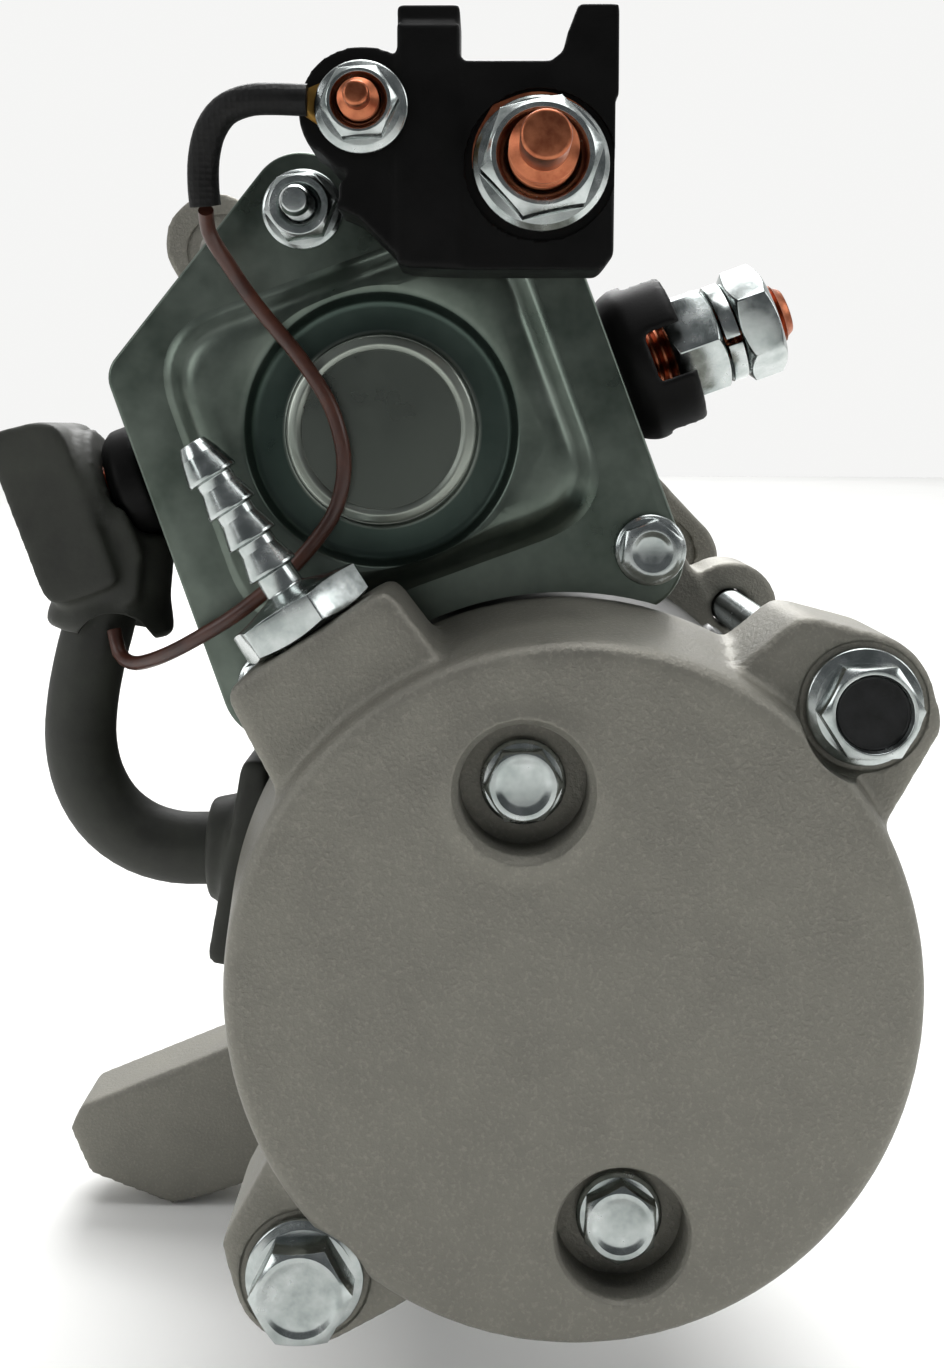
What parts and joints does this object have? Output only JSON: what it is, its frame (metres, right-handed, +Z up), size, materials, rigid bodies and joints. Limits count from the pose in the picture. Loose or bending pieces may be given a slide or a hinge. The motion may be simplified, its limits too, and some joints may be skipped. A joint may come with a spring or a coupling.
{
  "type": "starter motor",
  "caption": "heavy-duty offset gear-reduction starter motor with coaxial solenoid, sliding drive pinion, terminal block, vent fitting and mounting flange",
  "frame": {"origin": "on the pinion axis, in the front face of the mounting flange", "axes": "+Y runs from the rear end frame to the pinion, +Z is up as the starter hangs in the picture, +X is to the right seen from behind"},
  "size_m": [0.1634, 0.271, 0.24],
  "materials": {
    "cast_aluminium": "sand-textured casting",
    "painted_steel": "semi-gloss dark paint",
    "zinc_cover": "dull zinc plate",
    "bright_zinc": "bright zinc plate",
    "machined_steel": "machined",
    "copper": "copper",
    "black_plastic": "moulded",
    "dark_rubber": "matt rubber",
    "black_sleeve": "woven-look sleeve",
    "brown_insulation": "smooth insulation",
    "carbon": "pressed carbon",
    "spring_steel": "spring wire"
  },
  "bodies": {
    "housing": {"battery_nut_inner": "bright_zinc", "battery_nut_outer": "bright_zinc", "battery_terminal": "copper", "brush_1": "carbon", "brush_2": "carbon", "brush_3": "carbon", "brush_4": "carbon", "brush_plate": "zinc_cover", "brush_plate_bolt_lower": "bright_zinc", "brush_plate_bolt_upper": "bright_zinc", "clutch_front_bearing": "machined_steel", "clutch_rear_bearing": "machined_steel", "contact_housing": "black_plastic", "cover_bolt_left": "bright_zinc", "cover_bolt_right": "bright_zinc", "cover_nut": "bright_zinc", "cover_stud": "bright_zinc", "drive_housing": "cast_aluminium", "field_winding": "copper", "front_bearing": "machined_steel", "gear_housing": "cast_aluminium", "housing_screw_1": "bright_zinc", "housing_screw_2": "bright_zinc", "idler_pin": "machined_steel", "lead_grommet": "dark_rubber", "motor_lead": "dark_rubber", "motor_terminal": "copper", "pinion_return_spring": "spring_steel", "plunger_spring": "spring_steel", "pole_core_1": "painted_steel", "pole_core_2": "painted_steel", "pole_core_3": "painted_steel", "pole_core_4": "painted_steel", "power_nut": "bright_zinc", "power_stud": "copper", "rear_bearing": "machined_steel", "rear_end_frame": "cast_aluminium", "relay_wire": "brown_insulation", "ring_terminal": "copper", "signal_nut": "bright_zinc", "signal_stud": "copper", "solenoid_can": "painted_steel", "solenoid_coil": "copper", "solenoid_cover": "zinc_cover", "terminal_block": "black_plastic", "terminal_boot": "dark_rubber", "through_bolt_lower": "bright_zinc", "through_bolt_upper": "bright_zinc", "vent_hose_barb": "bright_zinc", "wire_sleeve": "black_sleeve", "yoke": "painted_steel"},
    "armature": {"armature_shaft": "machined_steel", "armature_core": "machined_steel", "commutator": "copper"},
    "idler": {"idler_gear": "machined_steel"},
    "clutch": {"clutch_gear": "machined_steel", "clutch_sleeve": "machined_steel"},
    "pinion": {"drive_pinion": "machined_steel"},
    "plunger": {"plunger": "machined_steel", "contact_disc": "copper"}
  },
  "joints": [
    {"name": "armature_spin", "type": "hinge", "parent": "housing", "child": "armature", "pos_m": [0.02933, 0, -0.08058], "axis": [0, 1, 0], "continuous": true},
    {"name": "idler_spin", "type": "hinge", "parent": "housing", "child": "idler", "pos_m": [0.01945, 0, -0.05345], "axis": [0, 1, 0], "continuous": true},
    {"name": "clutch_spin", "type": "hinge", "parent": "housing", "child": "clutch", "pos_m": [0, 0, 0], "axis": [0, 1, 0], "continuous": true},
    {"name": "pinion_slide", "type": "slide", "parent": "clutch", "child": "pinion", "axis": [0, 1, 0], "range_m": [0, 0.013], "stiffness_N_per_m": 900, "springref_m": -0.02, "deforming": ["pinion_return_spring"]},
    {"name": "plunger_slide", "type": "slide", "parent": "housing", "child": "plunger", "axis": [0, 1, 0], "range_m": [0, 0.013], "stiffness_N_per_m": 700, "springref_m": -0.02, "deforming": ["plunger_spring"]}
  ],
  "couplings": [
    {"joint": "idler_spin", "follows": "armature_spin", "ratio": -0.5},
    {"joint": "clutch_spin", "follows": "armature_spin", "ratio": 0.25581},
    {"joint": "plunger_slide", "follows": "pinion_slide", "ratio": 1}
  ]
}
